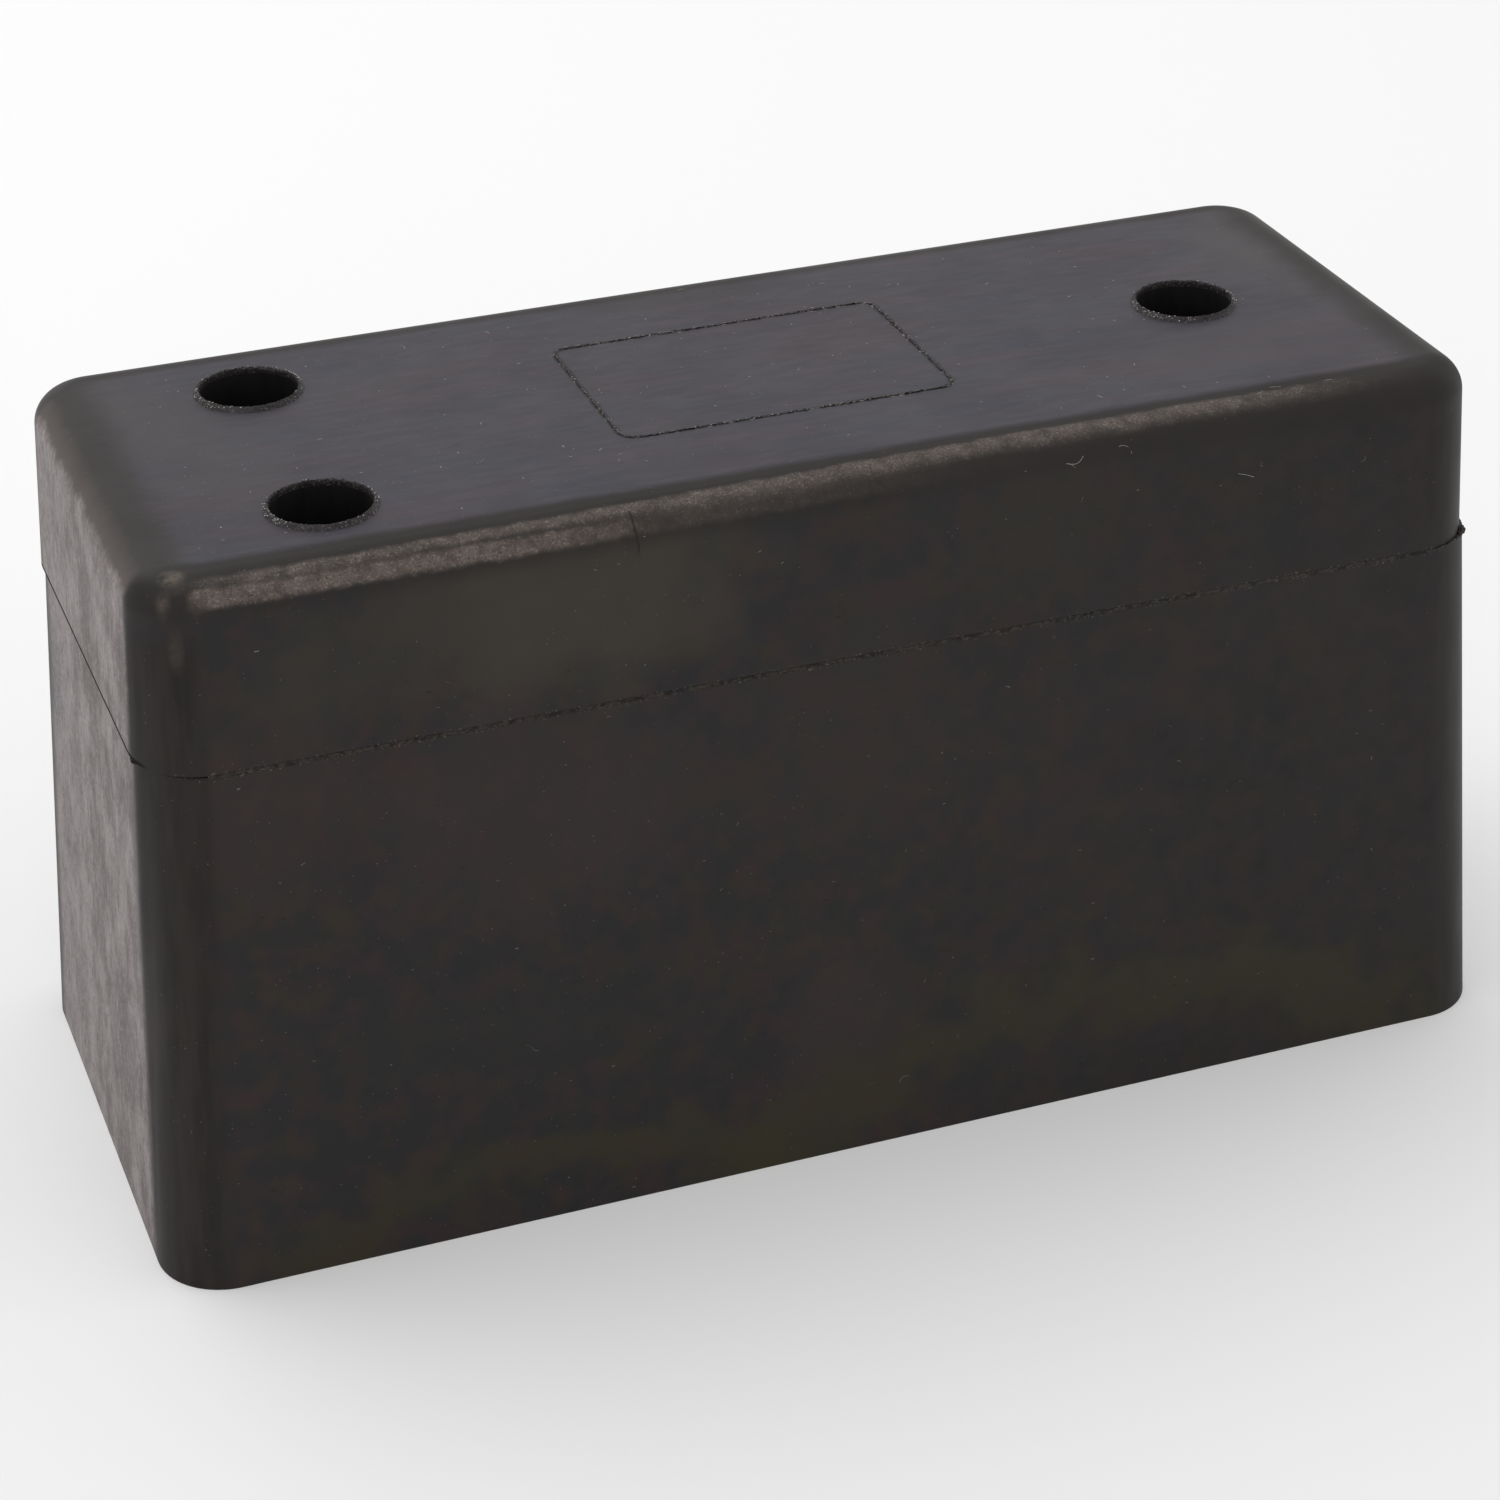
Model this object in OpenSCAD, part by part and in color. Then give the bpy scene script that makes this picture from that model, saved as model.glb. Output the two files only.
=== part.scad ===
// Trailer buffer: one moulded rubber block that a vehicle's rear frame carries on three bolts.
// Own frame: the origin is the centre of the flat back face, +Z goes out through the contact face,
// X runs along the block with the pair of holes at the -X end, and Y runs across it. Millimetres.
// The block was pressed in a mould of two cavities. The line where they met runs all round the
// sides, the upper cavity sat a little towards -X, and rubber crept out between them as a thin fin.

/* [Block] */
// Length of the back face, along X
base_length = 250; // [214:0.5:400]
// Width of the back face, along Y
base_width = 106.5; // [97:0.5:200]
// Height from the back face to the contact face
block_height = 127.5; // [102:0.5:190]
// How far every side leans inwards over 100 mm of height
side_lean = 6; // [0:0.25:9.5]
// Radius of the four upright corners
corner_radius = 12; // [8:0.5:25]
// Radius of the edge all round the contact face
face_edge_radius = 6; // [1:0.5:9]

/* [Mould line] */
// Height of the line where the two cavities met
mould_line_height = 95; // [30:0.5:118]
// How far the upper cavity sat towards -X
upper_cavity_shift = 0.6; // [0:0.1:2]
// How far the fin stands out of the sides of the lower cavity
fin_reach = 0.4; // [0.1:0.1:1.5]
// Thickness of the fin
fin_thickness = 0.5; // [0.2:0.1:1]

/* [Bolt holes] */
// Diameter of the three holes
hole_diameter = 17; // [6:0.5:26]
// Distance from the pair of holes to the single hole, along X
hole_spacing_length = 165; // [84:0.5:200]
// Distance between the two holes of the pair, along Y
hole_spacing_width = 49; // [22:0.5:58]
// Width of the raised lip round each mouth, at its foot
lip_width = 1.6; // [0.9:0.1:3]
// Width of the same lip at its crest
lip_crest_width = 0.8; // [0.3:0.1:1.5]
// Height of the lip above the contact face
lip_height = 1.1; // [0.2:0.1:2]

/* [Panel outline] */
// Length of the bare rounded panel outlined on the contact face
panel_length = 60; // [20:0.5:120]
// Width of the panel
panel_width = 40; // [20:0.5:70]
// Radius of the panel's corners
panel_corner_radius = 3; // [1:0.5:9]
// Width of the raised outline
outline_width = 0.5; // [0.2:0.1:1]
// Height of the raised outline
outline_height = 0.3; // [0.1:0.1:1]
// How far the panel lies from the middle of the face, along X
panel_offset_length = 0.7; // [-5:0.1:5]
// How far the panel lies from the middle of the face, along Y
panel_offset_width = 1.5; // [-5:0.1:5]

/* [Hidden] */
$fn = 96;
rubber_colour = [0.2, 0.19, 0.18];
// Overlap of pieces that are joined face to face
overlap = 0.1;
// How far a curved face stands proud of the flat one it runs into, so that the two cross cleanly
crossing = 0.004;
// Length by which cutting shapes run past what they cut
clear_run = 1;
lean_run = side_lean / 100;
lean_angle = atan(lean_run);
upper_height = block_height - mould_line_height;
mould_line_length = in_hundredths(base_length - 2 * mould_line_height * lean_run);
mould_line_width = in_hundredths(base_width - 2 * mould_line_height * lean_run);
corner_centre_x = mould_line_length / 2 - corner_radius;
corner_centre_y = mould_line_width / 2 - corner_radius;

// Nearest even hundredth of a millimetre, so that halves of it come out whole.
function in_hundredths(size) = 2 * round(size * 50) / 100;

// Side of the upper cavity in section, from a corner's axis outwards. It stands on the mould line,
// leans in and ends in the rounded edge of the contact face.
module side_profile() {
    arc_reach = face_edge_radius - crossing;
    arc_centre_z = upper_height - face_edge_radius;
    arc_centre_x = corner_radius - arc_centre_z * lean_run - arc_reach / cos(lean_angle);
    polygon([
        [0, 0],
        [corner_radius, 0],
        [arc_centre_x + arc_reach * cos(lean_angle), arc_centre_z + arc_reach * sin(lean_angle)],
        [arc_centre_x, arc_centre_z],
        [arc_centre_x, upper_height],
        [0, upper_height]
    ]);
    intersection() {
        translate([arc_centre_x, arc_centre_z])
            circle(r = face_edge_radius);
        square([corner_radius, upper_height]);
    }
}

// The straight part of one end of the upper body.
module end_strip() {
    translate([corner_centre_x, corner_centre_y, 0])
        rotate([90, 0, 0])
            linear_extrude(height = 2 * corner_centre_y)
                side_profile();
}

// The straight part of one long side of the upper body.
module side_strip() {
    translate([-corner_centre_x, corner_centre_y, 0])
        rotate([90, 0, 90])
            linear_extrude(height = 2 * corner_centre_x)
                side_profile();
}

// One rounded corner of the upper body, turned between the ends of two strips.
module corner_quarter(side_x, side_y, turn) {
    translate([side_x * corner_centre_x, side_y * corner_centre_y, 0])
        rotate([0, 0, turn])
            rotate_extrude(angle = 90)
                side_profile();
}

// What the upper cavity formed, standing on the mould line.
module upper_body() {
    translate([-corner_centre_x, -corner_centre_y, 0])
        cube([2 * corner_centre_x, 2 * corner_centre_y, upper_height]);
    end_strip();
    rotate([0, 0, 180])
        end_strip();
    side_strip();
    rotate([0, 0, 180])
        side_strip();
    corner_quarter(1, 1, 0);
    corner_quarter(-1, 1, 90);
    corner_quarter(-1, -1, 180);
    corner_quarter(1, -1, 270);
}

// A trapezoid drawn out along Y: one pair of the lower body's leaning sides.
module leaning_wedge(foot_width, run_length) {
    head_width = foot_width - 2 * mould_line_height * lean_run;
    translate([0, run_length / 2, 0])
        rotate([90, 0, 0])
            linear_extrude(height = run_length)
                polygon([
                    [-foot_width / 2, 0],
                    [foot_width / 2, 0],
                    [head_width / 2, mould_line_height],
                    [-head_width / 2, mould_line_height]
                ]);
}

// What comes off one upright corner of the lower body. Its axis leans along with the corner, so the
// corner has the same radius all the way up.
module corner_trim() {
    axis_lean = atan(sqrt(2) * lean_run);
    half_angle = acos(pow(sin(lean_angle), 2)) / 2;
    axis_inset = (corner_radius - crossing) / cos(lean_angle);
    trim_reach = 4 * corner_radius;
    trim_foot = -2 * corner_radius * lean_run - clear_run;
    trim_length = mould_line_height / cos(axis_lean) - 2 * trim_foot;
    translate([base_length / 2 - axis_inset, base_width / 2 - axis_inset, 0])
        rotate([0, 0, 45])
            rotate([0, -axis_lean, 0])
                translate([0, 0, trim_foot])
                    difference() {
                        linear_extrude(height = trim_length)
                            polygon([
                                [0, 0],
                                [trim_reach * cos(half_angle), -trim_reach * sin(half_angle)],
                                [2 * trim_reach, 0],
                                [trim_reach * cos(half_angle), trim_reach * sin(half_angle)]
                            ]);
                        translate([0, 0, -clear_run])
                            cylinder(h = trim_length + 2 * clear_run, r = corner_radius);
                    }
}

// What the lower cavity formed: leaning sides and a flat, sharp-edged back.
module lower_body() {
    difference() {
        intersection() {
            leaning_wedge(base_length, base_width);
            rotate([0, 0, 90])
                leaning_wedge(base_width, base_length);
        }
        corner_trim();
        mirror([1, 0, 0])
            corner_trim();
        mirror([0, 1, 0])
            corner_trim();
        rotate([0, 0, 180])
            corner_trim();
    }
}

// A flat plate with round corners, centred on the origin.
module rounded_plate(plate_length, plate_width, plate_radius, plate_thickness) {
    post_x = plate_length / 2 - plate_radius;
    post_y = plate_width / 2 - plate_radius;
    translate([-plate_length / 2, -post_y, 0])
        cube([plate_length, 2 * post_y, plate_thickness]);
    translate([-post_x, -plate_width / 2, 0])
        cube([2 * post_x, plate_width, plate_thickness]);
    for (x = [-post_x, post_x])
        for (y = [-post_y, post_y])
            translate([x, y, 0])
                cylinder(h = plate_thickness, r = plate_radius);
}

// The thin fin between the cavities, pressed out round the mouth of the lower one.
module mould_fin() {
    translate([0, 0, mould_line_height - fin_thickness / 2])
        rounded_plate(
            mould_line_length + 2 * fin_reach,
            mould_line_width + 2 * fin_reach,
            corner_radius + fin_reach,
            fin_thickness
        );
}

// The raised outline of the bare panel.
module panel_outline() {
    translate([panel_offset_length, panel_offset_width, block_height - overlap])
        difference() {
            rounded_plate(
                panel_length + outline_width,
                panel_width + outline_width,
                panel_corner_radius + outline_width / 2,
                outline_height + overlap
            );
            translate([0, 0, -clear_run])
                rounded_plate(
                    panel_length - outline_width,
                    panel_width - outline_width,
                    panel_corner_radius - outline_width / 2,
                    outline_height + 2 * clear_run
                );
        }
}

// Puts its child at each of the three holes.
module at_holes() {
    translate([-hole_spacing_length / 2, hole_spacing_width / 2, 0])
        children();
    translate([-hole_spacing_length / 2, -hole_spacing_width / 2, 0])
        children();
    translate([hole_spacing_length / 2, 0, 0])
        children();
}

// The raised lip round one mouth, wider at its foot than at its crest.
module mouth_lip() {
    translate([0, 0, block_height])
        cylinder(
            h = lip_height,
            r1 = hole_diameter / 2 + lip_width,
            r2 = hole_diameter / 2 + lip_crest_width
        );
    translate([0, 0, block_height - overlap])
        cylinder(h = 2 * overlap, d = hole_diameter + lip_crest_width);
}

module buffer_block() {
    color(rubber_colour)
        difference() {
            union() {
                lower_body();
                mould_fin();
                translate([-upper_cavity_shift, 0, mould_line_height])
                    upper_body();
                translate([-upper_cavity_shift, 0, 0]) {
                    panel_outline();
                    at_holes()
                        mouth_lip();
                }
            }
            translate([-upper_cavity_shift, 0, -clear_run])
                at_holes()
                    cylinder(h = block_height + lip_height + 2 * clear_run, d = hole_diameter);
        }
}

buffer_block();
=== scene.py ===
# Trailer buffer: a moulded rubber block that is bolted to the rear frame of a trailer and takes the
# knock when the trailer backs against a dock. It lies on its back face, contact face up.
import math
import random

import bmesh
import bpy
from mathutils import Matrix, Vector


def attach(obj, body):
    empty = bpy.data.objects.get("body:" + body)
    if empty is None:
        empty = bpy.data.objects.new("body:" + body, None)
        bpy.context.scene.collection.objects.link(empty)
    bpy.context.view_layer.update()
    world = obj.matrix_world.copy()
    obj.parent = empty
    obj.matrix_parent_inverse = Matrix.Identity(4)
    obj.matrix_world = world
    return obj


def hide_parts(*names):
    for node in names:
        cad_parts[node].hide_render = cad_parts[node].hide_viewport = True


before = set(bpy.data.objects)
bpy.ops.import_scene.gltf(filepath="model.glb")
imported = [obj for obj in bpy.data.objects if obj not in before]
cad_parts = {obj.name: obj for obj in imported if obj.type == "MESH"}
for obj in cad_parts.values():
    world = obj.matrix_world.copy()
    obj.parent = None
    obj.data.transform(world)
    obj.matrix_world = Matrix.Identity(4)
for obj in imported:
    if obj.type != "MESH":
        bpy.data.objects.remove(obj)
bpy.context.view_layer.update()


# The block is natural black rubber, pressed hot in a mould of two cavities that met 95 mm above the
# back face. The sides lean in so that it comes out of them, and the upper cavity sat 0.6 mm towards
# -X. Three bolt holes run right through it.
base_length = 0.25
base_width = 0.1065
side_lean = 0.06
corner_radius = 0.012
mould_line_height = 0.095
mould_line_length = base_length - 2 * mould_line_height * side_lean
mould_line_width = base_width - 2 * mould_line_height * side_lean
contact_height = 0.1275
edge_radius = 0.006
upper_shift = 0.0006
seam_gap = 0.0002
seam_depth = 0.0007
corner_steps = 24
hole_radius = 0.0085
hole_centres = [(-0.0831, 0.0245), (-0.0831, -0.0245), (0.0819, 0.0)]


def nothing_selected():
    if bpy.context.mode != "OBJECT":
        bpy.ops.object.mode_set(mode="OBJECT")
    bpy.ops.object.select_all(action="DESELECT")


def start_piece(name):
    """Names the primitive that was just added, puts its place in its mesh and opens it for editing."""
    piece = bpy.context.active_object
    piece.name = name
    piece.data.name = name
    bpy.ops.object.transform_apply(location=True, rotation=True, scale=True)
    bpy.ops.object.mode_set(mode="EDIT")
    return piece


def pick(piece, kind, wanted):
    """Selects the vertices, edges or faces of a piece in edit mode that are wanted, and no others."""
    modes = {"verts": "VERT", "edges": "EDGE", "faces": "FACE"}
    bpy.ops.mesh.select_mode(type=modes[kind])
    bpy.ops.mesh.select_all(action="DESELECT")
    rubber = bmesh.from_edit_mesh(piece.data)
    for part in getattr(rubber, kind):
        if wanted(part):
            part.select_set(True)
    rubber.select_flush_mode()
    bmesh.update_edit_mesh(piece.data)


def middle(part):
    return sum((corner.co for corner in part.verts), Vector()) / len(part.verts)


def edge_run(edge):
    return edge.verts[1].co - edge.verts[0].co


def finish_modifier(piece, name):
    bpy.context.view_layer.objects.active = piece
    bpy.ops.object.modifier_apply(modifier=name)


def weld(piece, other, operation):
    """Joins another piece to this one, or cuts it out, and clears it away."""
    nothing_selected()
    join = piece.modifiers.new(operation.lower(), "BOOLEAN")
    join.operation = operation
    join.solver = "EXACT"
    join.object = other
    finish_modifier(piece, join.name)
    bpy.data.objects.remove(other, do_unlink=True)


def face_outwards(piece):
    pick(piece, "faces", lambda face: True)
    bpy.ops.mesh.normals_make_consistent(inside=False)


def round_plate(name, length, width, radius, height, centre, steps):
    """A flat plate with round corners, left in edit mode."""
    nothing_selected()
    bpy.ops.mesh.primitive_plane_add(size=1, location=(centre[0], centre[1], height))
    plate = bpy.context.active_object
    plate.scale = (length, width, 1)
    start_piece(name)
    pick(plate, "verts", lambda corner: True)
    bpy.ops.mesh.bevel(offset=radius, segments=steps, profile=0.5, affect="VERTICES")
    return plate


# The lower cavity's part: leaning sides, upright corners of one radius and a sharp edge at the back.
nothing_selected()
bpy.ops.mesh.primitive_cube_add(size=1, location=(0, 0, mould_line_height / 2))
bpy.context.active_object.scale = (base_length, base_width, mould_line_height)
block = start_piece("moulded_block")
pick(block, "faces", lambda face: face.normal.z > 0.9)
bpy.ops.transform.resize(
    value=(mould_line_length / base_length, mould_line_width / base_width, 1),
    center_override=(0, 0, mould_line_height),
)
pick(block, "edges", lambda edge: abs(edge_run(edge).z) > mould_line_height / 2)
bpy.ops.mesh.bevel(offset=corner_radius, segments=corner_steps, profile=0.5, affect="EDGES")
pick(block, "faces", lambda face: abs(face.normal.z) > 0.9)
bpy.ops.mesh.region_to_loop()
bpy.ops.mesh.bevel(offset=0.0002, segments=2, profile=0.5, affect="EDGES")

# The upper cavity's part, rounded over all round the contact face. Its sides lean in, so the edge is
# blunt, and a bevel of the edge's radius starts a little less than that radius from it.
upper_rise = contact_height - mould_line_height - seam_gap
edge_offset = edge_radius * 0.9416
hairsbreadth = 0.00001
upper = round_plate(
    "upper_part",
    mould_line_length,
    mould_line_width,
    corner_radius,
    mould_line_height + seam_gap,
    (-upper_shift, 0),
    corner_steps,
)
pick(upper, "faces", lambda face: True)
bpy.ops.mesh.inset(thickness=upper_rise * side_lean, depth=upper_rise)
pick(upper, "edges", lambda edge: edge.is_boundary)
bpy.ops.mesh.edge_face_add()
pick(
    upper,
    "edges",
    lambda edge: all(abs(corner.co.z - contact_height) < hairsbreadth for corner in edge.verts),
)
bpy.ops.mesh.bevel(offset=edge_offset, segments=18, profile=0.5, affect="EDGES")
pick(upper, "faces", lambda face: middle(face).z < mould_line_height + seam_gap + hairsbreadth)
bpy.ops.mesh.region_to_loop()
bpy.ops.mesh.bevel(offset=0.00015, segments=2, profile=0.5, affect="EDGES")
face_outwards(upper)

# The neck between them is the bottom of the fine groove that runs along the mould line.
neck_height = 0.003
neck_sunk = 0.001
neck = round_plate(
    "seam_neck",
    mould_line_length - 2 * seam_depth - upper_shift,
    mould_line_width - 2 * seam_depth,
    corner_radius - seam_depth,
    mould_line_height - neck_sunk,
    (-upper_shift / 2, 0),
    corner_steps,
)
pick(neck, "faces", lambda face: True)
bpy.ops.mesh.extrude_region_move(TRANSFORM_OT_translate={"value": (0, 0, neck_height)})
face_outwards(neck)
weld(block, neck, "UNION")
weld(block, upper, "UNION")

# The bolt holes, straight through, each formed by a core pin longer than the block is high.
pin_length = 0.2
pin_middle = 0.06
for centre in hole_centres:
    nothing_selected()
    bpy.ops.mesh.primitive_cylinder_add(
        vertices=128,
        radius=hole_radius,
        depth=pin_length,
        location=(centre[0], centre[1], pin_middle),
    )
    core_pin = bpy.context.active_object
    bpy.ops.object.transform_apply(location=True, rotation=True, scale=True)
    weld(block, core_pin, "DIFFERENCE")


def start_material(name):
    material = bpy.data.materials.new(name)
    material.use_nodes = True
    material.node_tree.nodes.clear()
    return material, material.node_tree


def feed(tree, socket, value):
    """Links a node's output to an input, or sets the input to a plain number or colour."""
    if isinstance(value, bpy.types.NodeSocket):
        tree.links.new(value, socket)
    elif isinstance(value, tuple) and len(value) == 3 and len(socket.default_value) == 4:
        socket.default_value = (*value, 1)
    else:
        socket.default_value = value


def node(tree, kind, **settings):
    """Adds a shader node. Small letters set its own choices, and a capital names an input."""
    made = tree.nodes.new("ShaderNode" + kind)
    for name, value in settings.items():
        if name[0].islower():
            setattr(made, name, value)
    for name, value in settings.items():
        if name[0].isupper():
            feed(tree, made.inputs[name.replace("_", " ")], value)
    return made


def start_finish(name):
    """A finish of the rubber: its material, its node tree and the place on the rubber."""
    material, tree = start_material(name)
    return material, tree, node(tree, "TexCoord").outputs["Object"]


def noise(tree, where, scale, detail, roughness=0.5):
    return node(tree, "TexNoise", Vector=where, Scale=scale, Detail=detail, Roughness=roughness).outputs[0]


def reckon(tree, operation, *terms):
    made = node(tree, "Math", operation=operation)
    for place, term in enumerate(terms):
        feed(tree, made.inputs[place], term)
    return made.outputs[0]


def both(tree, *masks):
    """Where every mask is on."""
    result = masks[0]
    for mask in masks[1:]:
        result = reckon(tree, "MULTIPLY", result, mask)
    return result


def fade(tree, value, start, end):
    """0 up to the start and 1 from the end on, with a soft step between them."""
    step = node(tree, "MapRange", interpolation_type="SMOOTHSTEP", clamp=True, Value=value)
    feed(tree, step.inputs[1], start)
    feed(tree, step.inputs[2], end)
    return step.outputs[0]


def laid_over(tree, mask, under, over):
    """One colour over another, as far as the mask says."""
    made = node(tree, "Mix", data_type="RGBA")
    feed(tree, made.inputs[0], mask)
    feed(tree, made.inputs[6], under)
    feed(tree, made.inputs[7], over)
    return made.outputs[2]


def start_effect(name, inputs, outputs):
    """A node group for an effect that several of the rubber's finishes share."""
    effect = bpy.data.node_groups.new(name, "ShaderNodeTree")
    for side, sockets in (("INPUT", inputs), ("OUTPUT", outputs)):
        for socket_name, value in sockets:
            kind = "NodeSocketVector" if socket_name == "Vector" else "NodeSocketFloat"
            socket = effect.interface.new_socket(socket_name, in_out=side, socket_type=kind)
            if value is not None:
                socket.default_value = value
    given = effect.nodes.new("NodeGroupInput").outputs
    result = effect.nodes.new("NodeGroupOutput").inputs
    return effect, given, result


def use_effect(tree, effect, **settings):
    made = tree.nodes.new("ShaderNodeGroup")
    made.node_tree = effect
    for name, value in settings.items():
        feed(tree, made.inputs[name], value)
    return made.outputs[0]


# Clouds: soft patches from 0 to 1. A higher sharpness gives them clearer borders.
clouds, given, result = start_effect(
    "clouded_patches",
    [("Vector", None), ("Scale", 30.0), ("Seed", 0.0), ("Sharpness", 1.0)],
    [("Mask", None)],
)
moved = node(clouds, "VectorMath", operation="ADD", Vector=given[0])
seeded = node(clouds, "CombineXYZ", X=given[2]).outputs[0]
feed(clouds, moved.inputs[1], seeded)
cloud = noise(clouds, moved.outputs[0], given[1], 2.0, 0.55)
spread = reckon(clouds, "DIVIDE", 0.22, given[3])
low = reckon(clouds, "SUBTRACT", 0.5, spread)
high = reckon(clouds, "ADD", 0.5, spread)
feed(clouds, result[0], fade(clouds, cloud, low, high))

# Specks: round dots of mixed sizes and strengths, one in a share of the cells.
specks, given, result = start_effect(
    "dust_specks",
    [("Vector", None), ("Scale", 1200.0), ("Share", 0.03), ("Size", 0.25)],
    [("Mask", None)],
)
cell = node(specks, "TexVoronoi", feature="F1", Vector=given[0], Scale=given[1])
chance = node(specks, "SeparateColor", Color=cell.outputs["Color"]).outputs
chosen = reckon(specks, "LESS_THAN", chance[0], given[2])
radius = reckon(specks, "MULTIPLY", given[3], reckon(specks, "MULTIPLY_ADD", chance[1], 0.75, 0.25))
dot = fade(specks, cell.outputs["Distance"], radius, reckon(specks, "MULTIPLY", radius, 0.55))
strength = reckon(specks, "MULTIPLY_ADD", chance[2], 0.75, 0.25)
feed(specks, result[0], both(specks, dot, chosen, strength))

# Grain: the fine uneven skin that the mould left on the rubber, as a height.
grain, given, result = start_effect("moulded_grain", [("Vector", None), ("Coarse", 0.5)], [("Height", None)])
fine = noise(grain, given[0], 2600.0, 2.0, 0.6)
waves = noise(grain, given[0], 420.0, 3.0, 0.6)
height = reckon(grain, "MULTIPLY", fine, 0.6)
feed(grain, result[0], reckon(grain, "MULTIPLY_ADD", waves, given[1], height))


def rubber_shader(tree, colour, roughness, height):
    """The rubber's own low gloss, over a finish's colour and its height in tenths of a millimetre."""
    bump = node(tree, "Bump", Strength=1.0, Distance=0.0001, Height=height).outputs[0]
    shader = node(tree, "BsdfPrincipled", Base_Color=colour, Roughness=roughness, IOR=1.34, Normal=bump)
    tree.links.new(shader.outputs[0], node(tree, "OutputMaterial").inputs[0])


def away_from(tree, where, centre, reach):
    """How far off a place on the rubber is, counted in its reach each way, with a little waver."""
    near = node(
        tree,
        "Mapping",
        Vector=where,
        Location=tuple(-place / size for place, size in zip(centre, reach)),
        Scale=tuple(1 / size for size in reach),
    ).outputs[0]
    away = node(tree, "VectorMath", operation="LENGTH", Vector=near).outputs["Value"]
    waver = noise(tree, where, 90.0, 3.0)
    return reckon(tree, "MULTIPLY_ADD", waver, 0.9, reckon(tree, "SUBTRACT", away, 0.45))


def patch(tree, where, centre, reach):
    return fade(tree, away_from(tree, where, centre, reach), 1.05, 0.3)


def stained(tree, where, colour, stains):
    """A colour with stains on it. Each has a centre, its reach each way, a tint and a strength."""
    for centre, reach, tint, strength in stains:
        stain = patch(tree, where, centre, reach)
        colour = laid_over(tree, both(tree, stain, strength), colour, tint)
    return colour


def clouded(tree, where, colour, layers):
    """A colour with cloudy layers on it. Each has a scale, a seed, a tint and a strength."""
    for size, seed, tint, strength in layers:
        cloudy = use_effect(tree, clouds, Vector=where, Scale=size, Seed=seed, Sharpness=1.5)
        colour = laid_over(tree, both(tree, cloudy, strength), colour, tint)
    return colour


def grained(tree, mask, texture, colour, grains):
    """A colour broken up into grains where a mask is on. Each kind of grain fades in from one value
    of the texture to another, and has a strength and a tint."""
    for start, end, strength, tint in grains:
        showing = both(tree, mask, fade(tree, texture, start, end), strength)
        colour = laid_over(tree, showing, colour, tint)
    return colour


def grain_height(tree, where, coarse, amount):
    return reckon(tree, "MULTIPLY", use_effect(tree, grain, Vector=where, Coarse=coarse), amount)


# The moulded skin: brown-black on the long sides and cooler towards +X, with faint clouds of colour.
skin, tree, where = start_finish("moulded_skin")
x, y, z = node(tree, "SeparateXYZ", Vector=where).outputs
above = reckon(tree, "GREATER_THAN", z, mould_line_height + seam_gap / 2)
mould_x = reckon(tree, "MULTIPLY_ADD", above, upper_shift, x)
lean = reckon(tree, "MULTIPLY", z, side_lean)
wander = noise(tree, where, 45.0, 2.0)
to_right = fade(tree, reckon(tree, "MULTIPLY_ADD", wander, 0.08, x), 0.02, 0.13)
colour = laid_over(tree, to_right, (0.0192, 0.0134, 0.0114), (0.0064, 0.0050, 0.0052))
faint = reckon(tree, "MULTIPLY_ADD", to_right, -0.36, 0.66)
skin_clouds = [
    (38.0, 7.0, (0.0198, 0.0162, 0.0086), faint),
    (55.0, 12.0, (0.0240, 0.0136, 0.0146), faint),
    (42.0, 21.0, (0.0076, 0.0096, 0.0108), faint),
    (210.0, 27.0, (0.0220, 0.0176, 0.0076), faint),
    (240.0, 35.0, (0.0244, 0.0116, 0.0138), faint),
    (180.0, 41.0, (0.0070, 0.0096, 0.0124), faint),
]
colour = clouded(tree, where, colour, skin_clouds)

# On the long side towards -Y the rubber flowed together in paler, rosier and yellower places.
flow_stains = [
    ((-0.048, -0.047, 0.113), (0.040, 0.02, 0.020), (0.0370, 0.0310, 0.0230), 0.85),
    ((-0.086, -0.047, 0.110), (0.024, 0.02, 0.014), (0.0265, 0.0222, 0.0165), 0.6),
    ((-0.055, -0.049, 0.078), (0.038, 0.02, 0.026), (0.0275, 0.0190, 0.0188), 0.6),
    ((-0.100, -0.048, 0.086), (0.024, 0.02, 0.020), (0.0265, 0.0172, 0.0152), 0.6),
    ((-0.004, -0.052, 0.024), (0.017, 0.02, 0.019), (0.0245, 0.0172, 0.0160), 0.7),
    ((0.000, -0.049, 0.082), (0.028, 0.02, 0.032), (0.0220, 0.0156, 0.0135), 0.5),
    ((-0.062, -0.051, 0.038), (0.045, 0.02, 0.014), (0.0105, 0.0122, 0.0118), 0.6),
    ((0.034, -0.048, 0.112), (0.016, 0.02, 0.016), (0.0165, 0.0146, 0.0105), 0.6),
]
colour = stained(tree, where, colour, flow_stains)
flow_arches = [
    ((-0.058, -0.053, -0.004), (0.040, 0.15, 0.017)),
    ((0.045, -0.053, -0.008), (0.062, 0.15, 0.029)),
]
for centre, reach in flow_arches:
    off_arch = reckon(tree, "SUBTRACT", away_from(tree, where, centre, reach), 1.0)
    arch = fade(tree, reckon(tree, "ABSOLUTE", off_arch), 0.34, 0.04)
    arch = both(tree, arch, fade(tree, y, -0.045, -0.048), 0.65)
    colour = laid_over(tree, arch, colour, (0.0250, 0.0205, 0.0066))

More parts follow.
